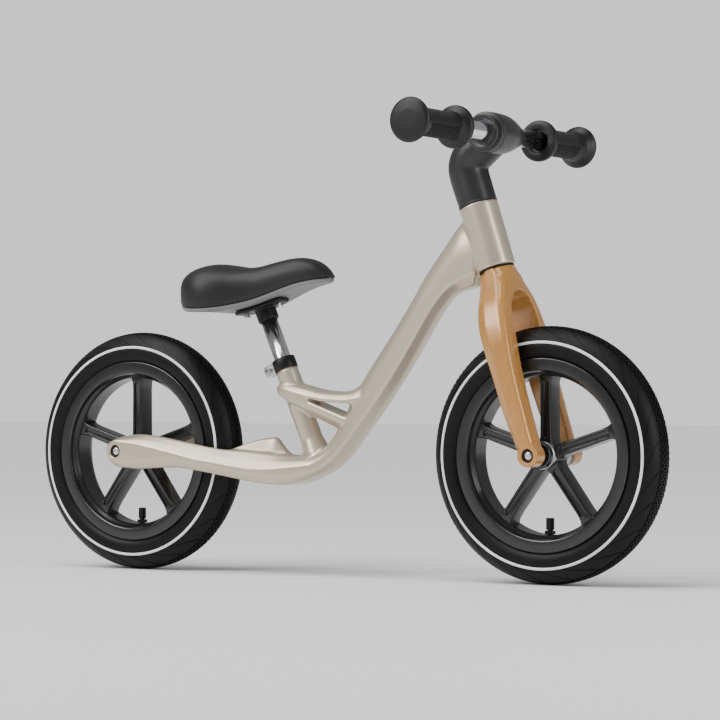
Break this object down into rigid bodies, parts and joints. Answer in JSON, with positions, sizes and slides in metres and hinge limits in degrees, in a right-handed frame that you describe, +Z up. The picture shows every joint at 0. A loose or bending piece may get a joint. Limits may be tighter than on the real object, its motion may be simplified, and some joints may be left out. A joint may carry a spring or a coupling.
{
  "type": "balance bike",
  "caption": "Child's two-wheeled balance bike with a curved one-piece frame, turning fork, spoked plastic wheels, foam grips and a height-adjustable saddle; no pedals or brakes.",
  "frame": {"origin": "bottom centre of the bounding box: on the ground, midway between the axles", "axes": "+X forward, +Y to the rider's left along the axles, +Z up"},
  "size_m": [0.902, 0.4174, 0.5609],
  "materials": {
    "champagne_paint": "satin",
    "amber_paint": "gloss",
    "grey_plastic": "satin",
    "black_plastic": "satin",
    "wheel_plastic": "satin",
    "tyre_rubber": "matte",
    "tube_rubber": "matte",
    "grip_rubber": "matte",
    "saddle_foam": "matte",
    "pan_plastic": "matte",
    "chrome_tube": "polished",
    "steel": "satin",
    "alloy": "satin"
  },
  "bodies": {
    "frame": {"main_frame": "champagne_paint", "lower_head_bearing": "steel", "upper_head_bearing": "steel", "rear_axle": "steel", "rear_spacer_left": "black_plastic", "rear_spacer_right": "black_plastic", "rear_axle_bolt_left": "alloy", "rear_axle_bolt_right": "alloy", "rear_axle_ring_left": "black_plastic", "rear_axle_ring_right": "black_plastic", "seat_clamp_collar": "black_plastic", "seat_clamp_lug": "alloy", "seat_clamp_bolt": "steel", "seat_clamp_nut": "steel"},
    "steering": {"fork": "amber_paint", "crown_race": "steel", "crown_bolt": "steel", "stem": "grey_plastic", "handlebar": "chrome_tube", "bar_clamp_ring": "black_plastic", "bar_clamp_cover": "grey_plastic", "bar_clamp_screw": "steel", "grip_right": "grip_rubber", "grip_left": "grip_rubber", "front_axle": "steel", "front_spacer_left": "black_plastic", "front_spacer_right": "black_plastic", "front_axle_bolt_left": "alloy", "front_axle_bolt_right": "alloy", "front_axle_ring_left": "black_plastic", "front_axle_ring_right": "black_plastic"},
    "front_wheel_set": {"front_tyre": "tyre_rubber", "front_inner_tube": "tube_rubber", "front_wheel": "wheel_plastic", "front_bearing_left": "steel", "front_bearing_right": "steel", "front_hub_sleeve": "steel", "front_valve": "steel", "front_valve_cap": "black_plastic"},
    "rear_wheel_set": {"rear_tyre": "tyre_rubber", "rear_inner_tube": "tube_rubber", "rear_wheel": "wheel_plastic", "rear_bearing_left": "steel", "rear_bearing_right": "steel", "rear_hub_sleeve": "steel", "rear_valve": "steel", "rear_valve_cap": "black_plastic"},
    "seat": {"seat_post": "chrome_tube", "saddle_bracket": "black_plastic", "saddle_pan": "pan_plastic", "saddle_cushion": "saddle_foam", "saddle_screw_rear": "steel", "saddle_screw_front": "steel"}
  },
  "joints": [
    {"name": "steering_turn", "type": "hinge", "parent": "frame", "child": "steering", "pos_m": [0.2985, 0, 0.1525], "axis": [-0.309, 0, 0.9511], "range_deg": [-60, 60]},
    {"name": "front_wheel_spin", "type": "hinge", "parent": "steering", "child": "front_wheel_set", "pos_m": [0.2985, 0, 0.1525], "axis": [0, 1, 0], "continuous": true},
    {"name": "rear_wheel_spin", "type": "hinge", "parent": "frame", "child": "rear_wheel_set", "pos_m": [-0.2985, 0, 0.1525], "axis": [0, 1, 0], "continuous": true},
    {"name": "seat_height", "type": "slide", "parent": "frame", "child": "seat", "axis": [-0.3965, 0, 0.918], "range_m": [-0.035, 0.038]}
  ]
}
